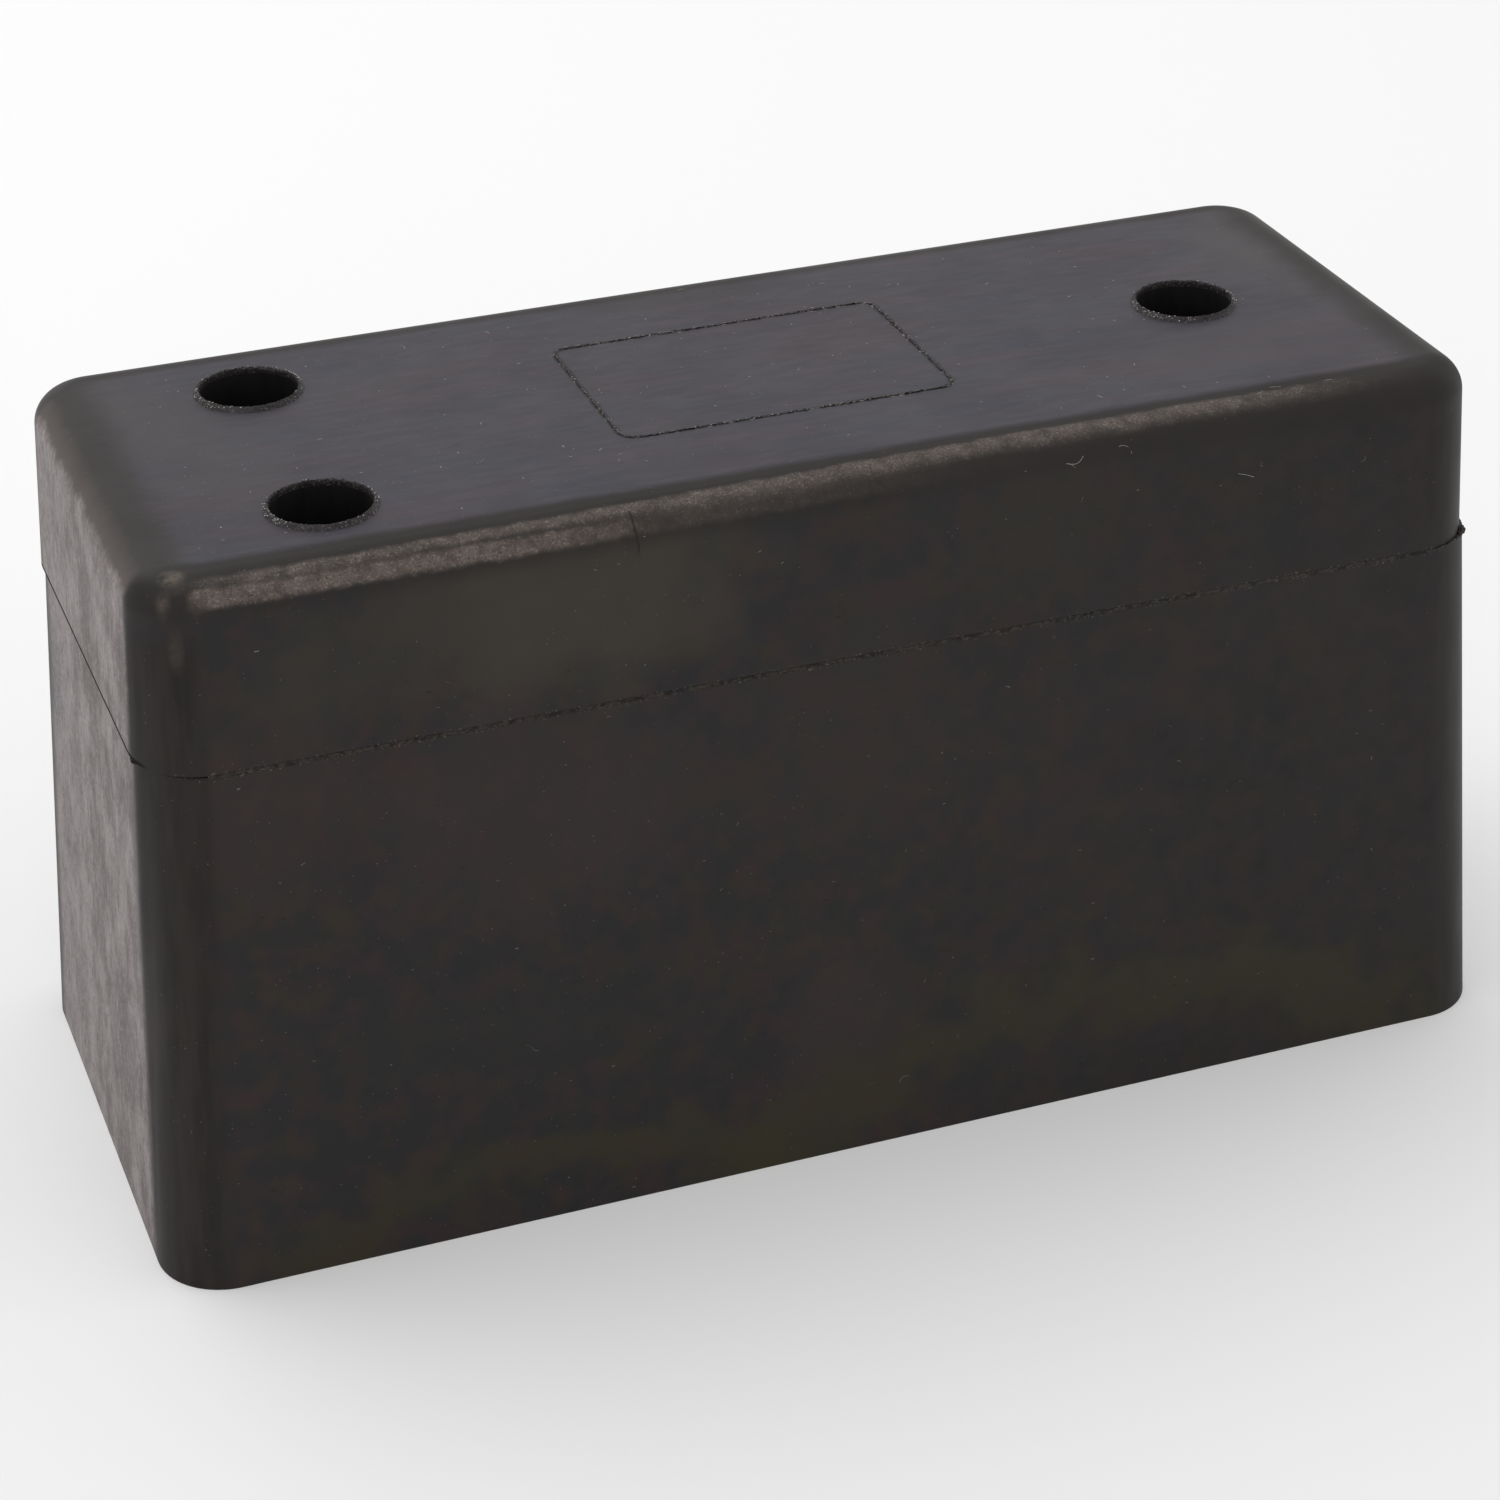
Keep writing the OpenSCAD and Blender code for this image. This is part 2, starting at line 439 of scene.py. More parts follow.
# The upright corners are painted darker as shade, with fine upright streaks.
past_corner = reckon(tree, "ADD", reckon(tree, "ABSOLUTE", y), lean)
past_corner = reckon(tree, "SUBTRACT", past_corner, base_width / 2 - corner_radius)
past_side = reckon(tree, "ADD", reckon(tree, "ABSOLUTE", mould_x), lean)
past_side = reckon(tree, "SUBTRACT", past_side, base_length / 2 - corner_radius)
upright = node(tree, "Mapping", Vector=where, Scale=(1.0, 1.0, 0.10)).outputs[0]
streaky = use_effect(tree, clouds, Vector=upright, Scale=420.0, Seed=44.0, Sharpness=1.2)
painted_corner_shade = laid_over(tree, streaky, (0.0052, 0.0030, 0.0020), (0.0140, 0.0098, 0.0078))
corner_shade_mask = both(
    tree,
    fade(tree, past_corner, 0.0, 0.0026),
    fade(tree, past_side, -0.0005, 0.0050),
    fade(tree, z, contact_height - 0.0050, contact_height - 0.0125),
)
colour = laid_over(tree, both(tree, corner_shade_mask, 0.9), colour, painted_corner_shade)

# The contact face has a thin bluish bloom, wiped along X, that stops short of its edge.
along = node(tree, "Mapping", Vector=where, Scale=(0.2, 1.0, 1.0)).outputs[0]
wiped = use_effect(tree, clouds, Vector=along, Scale=110.0, Seed=4.0, Sharpness=1.2)
bloom = laid_over(tree, wiped, (0.0318, 0.0266, 0.0388), (0.0376, 0.0326, 0.0446))
face_clouds = [
    (42.0, 9.0, (0.0430, 0.0310, 0.0400), 0.60),
    (120.0, 53.0, (0.0480, 0.0300, 0.0390), 0.60),
    (150.0, 61.0, (0.0220, 0.0290, 0.0430), 0.55),
    (700.0, 57.0, (0.0520, 0.0470, 0.0560), 0.32),
    (820.0, 59.0, (0.0180, 0.0140, 0.0200), 0.34),
]
bloom = clouded(tree, along, bloom, face_clouds)
face_stains = [
    ((0.085, -0.022, 0.1275), (0.036, 0.014, 0.02), (0.0440, 0.0340, 0.0430), 0.6),
    ((-0.097, 0.002, 0.1275), (0.014, 0.032, 0.02), (0.0400, 0.0345, 0.0380), 0.5),
    ((0.110, 0.022, 0.1275), (0.022, 0.030, 0.02), (0.0530, 0.0450, 0.0480), 0.7),
    ((-0.108, 0.020, 0.1275), (0.014, 0.024, 0.02), (0.0450, 0.0375, 0.0400), 0.6),
    ((0.000, 0.037, 0.1275), (0.030, 0.007, 0.02), (0.0270, 0.0205, 0.0240), 0.6),
    ((-0.020, -0.030, 0.1275), (0.020, 0.007, 0.02), (0.0270, 0.0225, 0.0310), 0.6),
]
bloom = stained(tree, where, bloom, face_stains)
bloom_end_x = 0.1111
bloom_middle_y = 0.0005
edge_axis_y = 0.03995
ragged = reckon(tree, "SUBTRACT", noise(tree, where, 150.0, 4.0, 0.65), 0.5)
from_ends = reckon(tree, "SUBTRACT", bloom_end_x, reckon(tree, "ABSOLUTE", mould_x))
from_ends = reckon(tree, "MULTIPLY_ADD", ragged, 0.006, from_ends)
off_middle = reckon(tree, "ABSOLUTE", reckon(tree, "SUBTRACT", y, bloom_middle_y))
from_sides = reckon(tree, "SUBTRACT", edge_axis_y, off_middle)
from_sides = reckon(tree, "MULTIPLY_ADD", ragged, 0.002, from_sides)
on_face = both(
    tree,
    fade(tree, from_ends, 0.0, 0.0070),
    fade(tree, from_sides, 0.0008, 0.0030),
    fade(tree, z, contact_height - 0.0007, contact_height - 0.0004),
)
on_rim = fade(tree, z, contact_height - 0.0075, contact_height - 0.0035)
colour = laid_over(tree, both(tree, on_rim, 0.8), colour, (0.0102, 0.0074, 0.0060))
colour = laid_over(tree, on_face, colour, bloom)


def off_outline(tree, x, y, length, width, radius, centre):
    """How far a place on the contact face is from the outline of a rounded rectangle."""
    past_x = reckon(tree, "ABSOLUTE", reckon(tree, "SUBTRACT", x, centre[0]))
    past_x = reckon(tree, "SUBTRACT", past_x, length / 2 - radius)
    past_y = reckon(tree, "ABSOLUTE", reckon(tree, "SUBTRACT", y, centre[1]))
    past_y = reckon(tree, "SUBTRACT", past_y, width / 2 - radius)
    out_x = reckon(tree, "MAXIMUM", past_x, 0.0)
    out_y = reckon(tree, "MAXIMUM", past_y, 0.0)
    round_off = reckon(tree, "MULTIPLY_ADD", out_x, out_x, reckon(tree, "MULTIPLY", out_y, out_y))
    round_off = reckon(tree, "SQRT", round_off)
    inside = reckon(tree, "MINIMUM", reckon(tree, "MAXIMUM", past_x, past_y), 0.0)
    return reckon(tree, "ABSOLUTE", reckon(tree, "SUBTRACT", reckon(tree, "ADD", round_off, inside), radius))


# Round the raised outline of the bare panel the face is torn into light and dark grains.
panel_length = 0.0600
panel_width = 0.0400
panel_radius = 0.0030
panel_middle = (0.0001, 0.0015)
off_line = off_outline(tree, x, y, panel_length, panel_width, panel_radius, panel_middle)
crumbs = noise(tree, where, 2600.0, 2.0, 0.6)
crumbly = reckon(tree, "SUBTRACT", crumbs, 0.5)
off_line = reckon(tree, "MULTIPLY_ADD", ragged, 0.0014, off_line)
near_line = both(tree, fade(tree, off_line, 0.00085, 0.00045), on_face)
far_line = both(tree, fade(tree, off_line, 0.0022, 0.0003), on_face)
bits = noise(tree, where, 1000.0, 2.0, 0.7)
panel_grains = [
    (0.42, 0.50, 0.9, (0.003, 0.002, 0.002)),
    (0.40, 0.34, 1.0, (0.170, 0.150, 0.140)),
]
colour = grained(tree, near_line, bits, colour, panel_grains)
chips = use_effect(tree, specks, Vector=where, Scale=1500.0, Share=0.22, Size=0.24)
colour = laid_over(tree, both(tree, far_line, chips, 0.8), colour, (0.260, 0.235, 0.215))
nicks = use_effect(tree, specks, Vector=where, Scale=1150.0, Share=0.22, Size=0.26)
colour = laid_over(tree, both(tree, far_line, nicks, 0.9), colour, (0.004, 0.003, 0.003))

# The two ends have a pale dusty bloom, mottled, scraped upright and grainy. It ends in a ragged
# border on the rounded edge above and thins out towards the upright corners.
end_depth = reckon(tree, "SUBTRACT", corner_radius, past_side)
drawn_up = node(tree, "Mapping", Vector=where, Scale=(1.0, 1.0, 0.6)).outputs[0]
mottled = use_effect(tree, clouds, Vector=drawn_up, Scale=130.0, Seed=2.0, Sharpness=1.2)
dusty = laid_over(tree, mottled, (0.140, 0.114, 0.114), (0.280, 0.247, 0.245))
towards_back = both(tree, fade(tree, y, -0.008, 0.034), reckon(tree, "MULTIPLY_ADD", z, 3.0, 0.45))
dusty = laid_over(tree, towards_back, dusty, (0.250, 0.222, 0.220))
end_stains = [
    ((-0.120, 0.036, 0.076), (0.02, 0.010, 0.014), (0.110, 0.112, 0.122), 0.7),
    ((-0.119, -0.006, 0.096), (0.02, 0.011, 0.010), (0.110, 0.100, 0.084), 0.6),
    ((-0.121, -0.020, 0.030), (0.02, 0.016, 0.020), (0.120, 0.102, 0.102), 0.6),
]
dusty = stained(tree, where, dusty, end_stains)
scraped_up = node(tree, "Mapping", Vector=where, Scale=(1.0, 0.5, 0.14)).outputs[0]
scratch = noise(tree, scraped_up, 1900.0, 3.0, 0.65)
scratches = [
    (0.52, 0.66, 0.36, (0.040, 0.028, 0.028)),
    (0.48, 0.34, 0.34, (0.340, 0.308, 0.302)),
]
dusty = grained(tree, 1.0, scratch, dusty, scratches)
spread_out = node(tree, "Mapping", Vector=where, Scale=(1.0, 0.5, 0.9)).outputs[0]
gritty = noise(tree, spread_out, 1900.0, 3.0, 0.7)
grits = [
    (0.54, 0.68, 0.42, (0.038, 0.028, 0.027)),
    (0.46, 0.32, 0.42, (0.380, 0.345, 0.338)),
]
dusty = grained(tree, 1.0, gritty, dusty, grits)
toothed = reckon(tree, "SUBTRACT", noise(tree, where, 420.0, 3.0, 0.7), 0.5)
ragged_depth = reckon(tree, "MULTIPLY_ADD", ragged, 0.0016, end_depth)
ragged_depth = reckon(tree, "MULTIPLY_ADD", toothed, 0.0012, ragged_depth)
down_end = fade(tree, z, 0.112, 0.082)
thins_from = reckon(tree, "MULTIPLY_ADD", down_end, -0.0050, 0.0003)
thins_to = reckon(tree, "MULTIPLY_ADD", down_end, -0.0022, 0.0033)
at_corner = reckon(tree, "MULTIPLY_ADD", toothed, 0.002, past_corner)
at_corner = fade(tree, at_corner, thins_to, thins_from)
on_end = both(tree, fade(tree, ragged_depth, 0.00085, -0.00015), at_corner)
thin_dust = both(tree, fade(tree, ragged_depth, 0.0042, 0.0006), at_corner)
colour = laid_over(tree, thin_dust, colour, (0.060, 0.046, 0.041))
colour = laid_over(tree, on_end, colour, dusty)

# Two painted highlights lie along the rounded long edge towards -Y, broken into pale and dark grains: a
# lower one beside the pair of holes, and one higher up that runs on to the single hole.
edge_turn = reckon(
    tree,
    "ARCTAN2",
    reckon(tree, "SUBTRACT", z, contact_height - edge_radius),
    reckon(tree, "SUBTRACT", -edge_axis_y, y),
)
on_edge = both(
    tree,
    reckon(tree, "GREATER_THAN", z, contact_height - edge_radius - 0.003),
    reckon(tree, "LESS_THAN", y, -0.0385),
)
patchy = reckon(tree, "SUBTRACT", noise(tree, where, 170.0, 4.0, 0.6), 0.5)
turned = reckon(tree, "MULTIPLY_ADD", patchy, 0.26, edge_turn)
turned = reckon(tree, "MULTIPLY_ADD", toothed, 0.16, turned)
lower_length = reckon(
    tree,
    "MULTIPLY_ADD",
    fade(tree, mould_x, -0.030, -0.056),
    0.78,
    reckon(tree, "MULTIPLY", fade(tree, mould_x, 0.035, -0.030), 0.22),
)
lower_painted_highlight = both(
    tree,
    fade(tree, turned, 0.22, 0.46),
    fade(tree, turned, 0.92, 0.72),
    fade(tree, mould_x, -0.1096, -0.1076),
    lower_length,
)
highest = reckon(tree, "MULTIPLY_ADD", mould_x, 2.9, 1.27)
highest = reckon(tree, "MINIMUM", reckon(tree, "MAXIMUM", highest, 1.02), 1.36)
off_highest = reckon(tree, "SUBTRACT", turned, highest)
spreads_down = reckon(tree, "MULTIPLY_ADD", fade(tree, mould_x, -0.060, -0.010), -0.36, -0.27)
upper_painted_highlight = both(
    tree,
    fade(tree, off_highest, spreads_down, -0.06),
    fade(tree, off_highest, 0.24, 0.05),
    fade(tree, mould_x, -0.116, -0.090),
    fade(tree, mould_x, 0.108, 0.062),
)
blotched = use_effect(tree, clouds, Vector=where, Scale=260.0, Seed=25.0, Sharpness=1.2)
dappled = use_effect(tree, clouds, Vector=where, Scale=640.0, Seed=26.0, Sharpness=1.3)
blotched = reckon(tree, "MULTIPLY_ADD", blotched, 0.52, 0.42)
blotched = reckon(tree, "MULTIPLY_ADD", dappled, 0.36, blotched)
lower_painted_highlight = both(tree, lower_painted_highlight, on_edge, blotched)
upper_painted_highlight = both(tree, upper_painted_highlight, on_edge, blotched)
painted_highlights = reckon(tree, "MAXIMUM", lower_painted_highlight, upper_painted_highlight)
colour = laid_over(tree, upper_painted_highlight, colour, (0.092, 0.075, 0.065))
colour = laid_over(tree, lower_painted_highlight, colour, (0.112, 0.088, 0.075))
highlight_grains = [
    (0.54, 0.70, 0.9, (0.190, 0.162, 0.145)),
    (0.44, 0.30, 0.8, (0.024, 0.018, 0.014)),
]
colour = grained(tree, painted_highlights, crumbs, colour, highlight_grains)
crack_place = -0.0367
off_crack = reckon(tree, "SUBTRACT", reckon(tree, "MULTIPLY_ADD", patchy, 0.0030, mould_x), crack_place)
crack = fade(tree, reckon(tree, "ABSOLUTE", off_crack), 0.00032, 0.00010)
crack = both(tree, crack, fade(tree, edge_turn, -0.30, -0.10), fade(tree, edge_turn, 1.15, 0.95), on_edge)
colour = laid_over(tree, both(tree, crack, 0.8), colour, (0.006, 0.004, 0.003))
# Pale painted highlights carry on in spots round the upright corner at -X and -Y.
corner_highlight_spots = [
    ((-0.1110, -0.0404, 0.1270), (0.0030, 0.0026, 0.0024), (0.090, 0.074, 0.058)),
    ((-0.1132, -0.0430, 0.1238), (0.0018, 0.0020, 0.0036), (0.062, 0.050, 0.040)),
    ((-0.1085, -0.0440, 0.1235), (0.0026, 0.0030, 0.0030), (0.030, 0.023, 0.018)),
    ((-0.1122, -0.0447, 0.1170), (0.0016, 0.0020, 0.0050), (0.030, 0.024, 0.020)),
]
for centre, reach, tint in corner_highlight_spots:
    spot = both(tree, patch(tree, where, centre, reach), fade(tree, toothed, -0.22, 0.10))
    colour = laid_over(tree, spot, colour, tint)

# Along the mould line the skin is torn into light and dark grains, and on the end towards -X the line
# is a fine painted shadow under the overhang of the upper part.
line_off = reckon(tree, "ABSOLUTE", reckon(tree, "SUBTRACT", z, mould_line_height))
line_off = reckon(tree, "MULTIPLY_ADD", crumbly, 0.0010, line_off)
torn_line = both(tree, fade(tree, line_off, 0.00075, 0.00035), fade(tree, mould_x, -0.1160, -0.1130))
torn_grains = [
    (0.46, 0.56, 1.0, (0.005, 0.003, 0.003)),
    (0.40, 0.30, 1.0, (0.105, 0.086, 0.070)),
]
colour = grained(tree, torn_line, crumbs, colour, torn_grains)
painted_seam_shadow = both(
    tree,
    fade(tree, z, mould_line_height + 0.00100, mould_line_height + 0.00085),
    reckon(tree, "GREATER_THAN", z, mould_line_height - 0.00010),
    fade(tree, mould_x, -0.1110, -0.1150),
    fade(tree, y, -0.0425, -0.0400),
)
colour = laid_over(tree, painted_seam_shadow, colour, (0.003, 0.002, 0.002))

# Dust lies all over it, thicker in places, and there are a few dark pits.
dust_share = reckon(tree, "MULTIPLY_ADD", fade(tree, x, 0.05, -0.04), 0.095, 0.036)
dusty_places = [
    ((0.090, -0.046, 0.112), (0.030, 0.02, 0.014)),
    ((-0.096, -0.010, 0.1275), (0.016, 0.026, 0.01)),
]
for centre, reach in dusty_places:
    dust_heap = patch(tree, where, centre, reach)
    dust_share = reckon(tree, "MULTIPLY_ADD", dust_heap, 0.10, dust_share)
dust = use_effect(tree, specks, Vector=where, Scale=1250.0, Share=dust_share, Size=0.22)
dust_strength = reckon(tree, "MULTIPLY_ADD", reckon(tree, "MAXIMUM", on_face, on_end), 0.45, 0.50)
colour = laid_over(tree, both(tree, dust, dust_strength), colour, (0.20, 0.185, 0.165))
drawn = node(tree, "Mapping", Vector=where, Scale=(0.30, 1.0, 0.9)).outputs[0]
big_dust = use_effect(tree, specks, Vector=where, Scale=800.0, Share=dust_share, Size=0.12)
colour = laid_over(tree, both(tree, big_dust, on_face, 0.8), colour, (0.55, 0.53, 0.49))
flecks = use_effect(tree, specks, Vector=drawn, Scale=1300.0, Share=0.050, Size=0.16)
colour = laid_over(tree, both(tree, flecks, dust_strength), colour, (0.26, 0.24, 0.22))
pits = use_effect(tree, specks, Vector=drawn, Scale=1000.0, Share=0.090, Size=0.22)
colour = laid_over(tree, both(tree, pits, 0.8), colour, (0.004, 0.003, 0.003))

# The skin has a low, uneven gloss, and it is duller under the painted highlights, on the dusty ends and
# along the painted seam shadow. The height holds the moulded grain, and lets the contact face and the
# ends fall away a little before they turn over the long edge and the corners at -Y.
gloss = use_effect(tree, clouds, Vector=where, Scale=60.0, Seed=15.0, Sharpness=1.0)
roughness = reckon(tree, "MULTIPLY_ADD", gloss, 0.06, 0.49)
roughness = reckon(tree, "MULTIPLY_ADD", reckon(tree, "MAXIMUM", painted_highlights, on_end), 0.10, roughness)
roughness = reckon(tree, "MULTIPLY_ADD", painted_seam_shadow, 0.40, roughness)
height = grain_height(tree, where, 0.8, 0.30)
height = reckon(tree, "MULTIPLY_ADD", fade(tree, y, -0.0362, -0.0424), -9.0, height)
rubber_shader(tree, colour, roughness, height)

# Inside the holes and in the groove the rubber is dull, and its colour is darkened to near black as painted
# shade.
recess_finish_with_painted_shade, tree, where = start_finish("bore_wall_painted_shade")
drawn = node(tree, "Mapping", Vector=where, Scale=(1.0, 1.0, 0.25)).outputs[0]
scored = use_effect(tree, clouds, Vector=drawn, Scale=500.0, Seed=5.0, Sharpness=1.0)
colour = laid_over(tree, scored, (0.0022, 0.0019, 0.0019), (0.0060, 0.0054, 0.0054))
dust = use_effect(tree, specks, Vector=where, Scale=1300.0, Share=0.022, Size=0.20)
colour = laid_over(tree, both(tree, dust, 0.8), colour, (0.26, 0.24, 0.22))
height = grain_height(tree, where, 1.0, 0.4)
rubber_shader(tree, colour, 0.62, height)


def from_hole(face):
    """How far the middle of a face is from the axis of the nearest hole."""
    return min(math.dist(middle(face)[:2], centre) for centre in hole_centres)


def in_hole(face):
    return from_hole(face) < hole_radius + 0.0001 and abs(face.normal.z) < 0.5


def in_groove(face):
    return abs(middle(face).z - mould_line_height - seam_gap / 2) < seam_gap / 2 + hairsbreadth


def give_finishes(piece, first, second, wanted):
    """Gives a piece two materials, the second one on the faces that are wanted."""
    nothing_selected()
    piece.data.materials.append(first)
    piece.data.materials.append(second)
    bpy.context.view_layer.objects.active = piece
    bpy.ops.object.mode_set(mode="EDIT")
    pick(piece, "faces", wanted)
    piece.active_material_index = 1
    bpy.ops.object.material_slot_assign()
    nothing_selected()


give_finishes(block, skin, recess_finish_with_painted_shade, lambda face: in_hole(face) or in_groove(face))
bpy.context.view_layer.objects.active = block
block.select_set(True)
bpy.ops.object.shade_smooth_by_angle(angle=math.radians(35))
even = block.modifiers.new("even_shading", "WEIGHTED_NORMAL")
even.keep_sharp = True
even.weight = 80
finish_modifier(block, even.name)
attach(block, "root")
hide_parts("buffer_block")


# Where the cavities met, rubber crept out between them and was torn off. It left a low crumbly band
# over the groove along the long sides and the +X end.
crumb_relief = bpy.data.textures.new("crumb_relief", "CLOUDS")
crumb_relief.noise_scale = 0.00045
crumb_relief.noise_depth = 2


def split_edges(plate, step):
    """Cuts the straight stretches of an outline into short ones."""
    shortest_stretch = 0.01
    for axis in (0, 1):
        edges = bmesh.from_edit_mesh(plate.data).edges
        runs = [abs(edge_run(edge)[axis]) for edge in edges]
        cuts = int(max(runs) / step)
        pick(plate, "edges", lambda edge: abs(edge_run(edge)[axis]) > shortest_stretch)
        bpy.ops.mesh.subdivide(number_cuts=cuts)


def roughen(piece, strength, middle_level=0.5):
    nothing_selected()
    crumble = piece.modifiers.new("crumble", "DISPLACE")
    crumble.texture = crumb_relief
    crumble.texture_coords = "LOCAL"
    crumble.strength = strength
    crumble.mid_level = middle_level
    finish_modifier(piece, crumble.name)


rim_proud = 0.00003
rim_low = mould_line_height - 0.00030
rim_start_x = -0.1100
rim_rows = 4
row_height = 0.00015
rim_thickness = 0.0005
rim = round_plate(
    "torn_rim",
    mould_line_length + 2 * rim_proud,
    mould_line_width + 2 * rim_proud,
    corner_radius + rim_proud,
    rim_low,
    (0, 0),
    40,
)
pick(rim, "faces", lambda face: True)
bpy.ops.mesh.delete(type="ONLY_FACE")
split_edges(rim, 0.0004)
pick(rim, "verts", lambda corner: corner.co.x < rim_start_x)
bpy.ops.mesh.delete(type="VERT")
pick(rim, "edges", lambda edge: True)
for row in range(rim_rows):
    bpy.ops.mesh.extrude_region_move(TRANSFORM_OT_translate={"value": (0, 0, row_height)})
face_outwards(rim)
nothing_selected()
shell = rim.modifiers.new("shell", "SOLIDIFY")
shell.thickness = rim_thickness
shell.offset = -1
finish_modifier(rim, shell.name)
roughen(rim, 0.00030)

torn, tree, where = start_finish("torn_rubber")
shade = use_effect(tree, clouds, Vector=where, Scale=900.0, Seed=8.0, Sharpness=1.6)
colour = laid_over(tree, shade, (0.0060, 0.0040, 0.0036), (0.0340, 0.0270, 0.0225))
crumb = use_effect(tree, specks, Vector=where, Scale=2600.0, Share=0.22, Size=0.45)
colour = laid_over(tree, both(tree, crumb, 0.7), colour, (0.20, 0.170, 0.145))
height = grain_height(tree, where, 1.0, 0.5)
rubber_shader(tree, colour, 0.7, height)
rim.data.materials.append(torn)
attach(rim, "root")
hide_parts("buffer_block")


# Three thicker scraps of the same torn rubber: a lump at the corner near the pair of holes, a flap
# that stands up at the other end of the long side, and a nib on its lower edge.
nothing_selected()
bpy.ops.mesh.primitive_ico_sphere_add(subdivisions=3, radius=0.0006, location=(0, 0, 0))
lump = bpy.context.active_object
lump.scale = (1.5, 1.1, 0.9)
lump.rotation_euler = (0, math.radians(35), math.radians(-40))
lump.location = (-0.1192, -0.0372, 0.0947)
bpy.ops.object.transform_apply(location=True, rotation=True, scale=True)
roughen(lump, 0.0007)
nothing_selected()
bpy.ops.mesh.primitive_cube_add(size=1, location=(0, 0, 0))
flap = bpy.context.active_object
flap.scale = (0.0005, 0.0030, 0.0016)
flap.rotation_euler = (0, math.radians(-6), math.radians(-48))
flap.location = (0.1166, -0.0431, 0.0954)
start_piece("torn_flap")
pick(flap, "faces", lambda face: True)
bpy.ops.mesh.subdivide(number_cuts=7)
flap_thins_above = 0.0956
flap_tip = (0.1172, -0.0425, 0.0954)
pick(flap, "verts", lambda corner: corner.co.z > flap_thins_above)
bpy.ops.transform.resize(value=(0.45, 0.45, 0.8), center_override=flap_tip)
roughen(flap, 0.0006)
nothing_selected()
bpy.ops.mesh.primitive_ico_sphere_add(subdivisions=2, radius=0.0003, location=(0.0670, -0.0529, 0.0004))
nib = bpy.context.active_object
bpy.ops.object.transform_apply(location=True, rotation=True, scale=True)


def join_pieces(name, parts):
    """Joins pieces into one, with a name of its own."""
    nothing_selected()
    for part in parts:
        part.select_set(True)
    bpy.context.view_layer.objects.active = parts[0]
    bpy.ops.object.join()
    joined = bpy.context.active_object
    joined.name = name
    joined.data.name = name
    return joined


scraps = join_pieces("torn_scraps", [lump, flap, nib])
scraps.data.materials.append(torn)
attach(scraps, "root")
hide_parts("buffer_block")


# A lip of rubber stands round each hole's mouth, where it crept up beside the core pin. Its outer side
# is greyish, and its crest is thin and torn, most of all on the side towards +Y.
torn_above = contact_height + 0.0006
rugged_above = contact_height + 0.0004
rugged_from_y = 0.004

# Each step of a lip's section is a distance off the hole's wall and a height over the contact face: up
# the outer side, over the crest and down inside.
lip_steps = [
    (0.00112, -0.00008),
    (0.00095, 0.00007),
    (0.00076, 0.00029),
    (0.00058, 0.00052),
    (0.00041, 0.00070),
    (0.00026, 0.00080),
    (0.00010, 0.00078),
    (0.0, 0.00062),
    (-0.00002, 0.00020),
    (-0.00002, -0.00045),
    (-0.00002, -0.00150),
    (0.00012, -0.00150),
]
lip_profile = [(hole_radius + step[0], contact_height + step[1]) for step in lip_steps]
lip_parts = []
for number, centre in enumerate(hole_centres):
    nothing_selected()
    bpy.ops.mesh.primitive_circle_add(
        vertices=220,
        radius=lip_profile[0][0],
        location=(centre[0], centre[1], lip_profile[0][1]),
    )
    lip = start_piece("mouth_lip")
    pick(lip, "verts", lambda corner: True)
    for inner, outer in zip(lip_profile, lip_profile[1:]):
        bpy.ops.mesh.extrude_region_move(TRANSFORM_OT_translate={"value": (0, 0, outer[1] - inner[1])})
        widen = outer[0] / inner[0]
        bpy.ops.transform.resize(
            value=(widen, widen, 1),
            center_override=(centre[0], centre[1], outer[1]),
        )
    pick(lip, "edges", lambda edge: edge.is_boundary)
    bpy.ops.mesh.bridge_edge_loops()
    face_outwards(lip)
    pick(lip, "verts", lambda corner: corner.co.z > torn_above)
    bpy.ops.transform.vertex_random(offset=0.00013, uniform=0.3, normal=0, seed=20 + number)
    far_side = centre[1] + rugged_from_y
    pick(lip, "verts", lambda corner: corner.co.z > rugged_above and corner.co.y > far_side)
    bpy.ops.transform.translate(value=(0, 0, -0.00016))
    bpy.ops.transform.vertex_random(offset=0.00020, uniform=0.2, normal=0, seed=40 + number)
    nothing_selected()
    lip_parts.append(lip)
mouth_lips = join_pieces("mouth_lips", lip_parts)
bpy.ops.object.shade_smooth_by_angle(angle=math.radians(60))

lip_skin, tree, where = start_finish("lip_skin")
z = node(tree, "SeparateXYZ", Vector=where).outputs[2]
shade = use_effect(tree, clouds, Vector=where, Scale=330.0, Seed=1.0, Sharpness=1.3)
colour = laid_over(tree, shade, (0.012, 0.010, 0.012), (0.032, 0.027, 0.030))
crumbs = noise(tree, where, 2600.0, 2.0, 0.6)
ragged_z = reckon(tree, "MULTIPLY_ADD", crumbs, 0.0005, z)
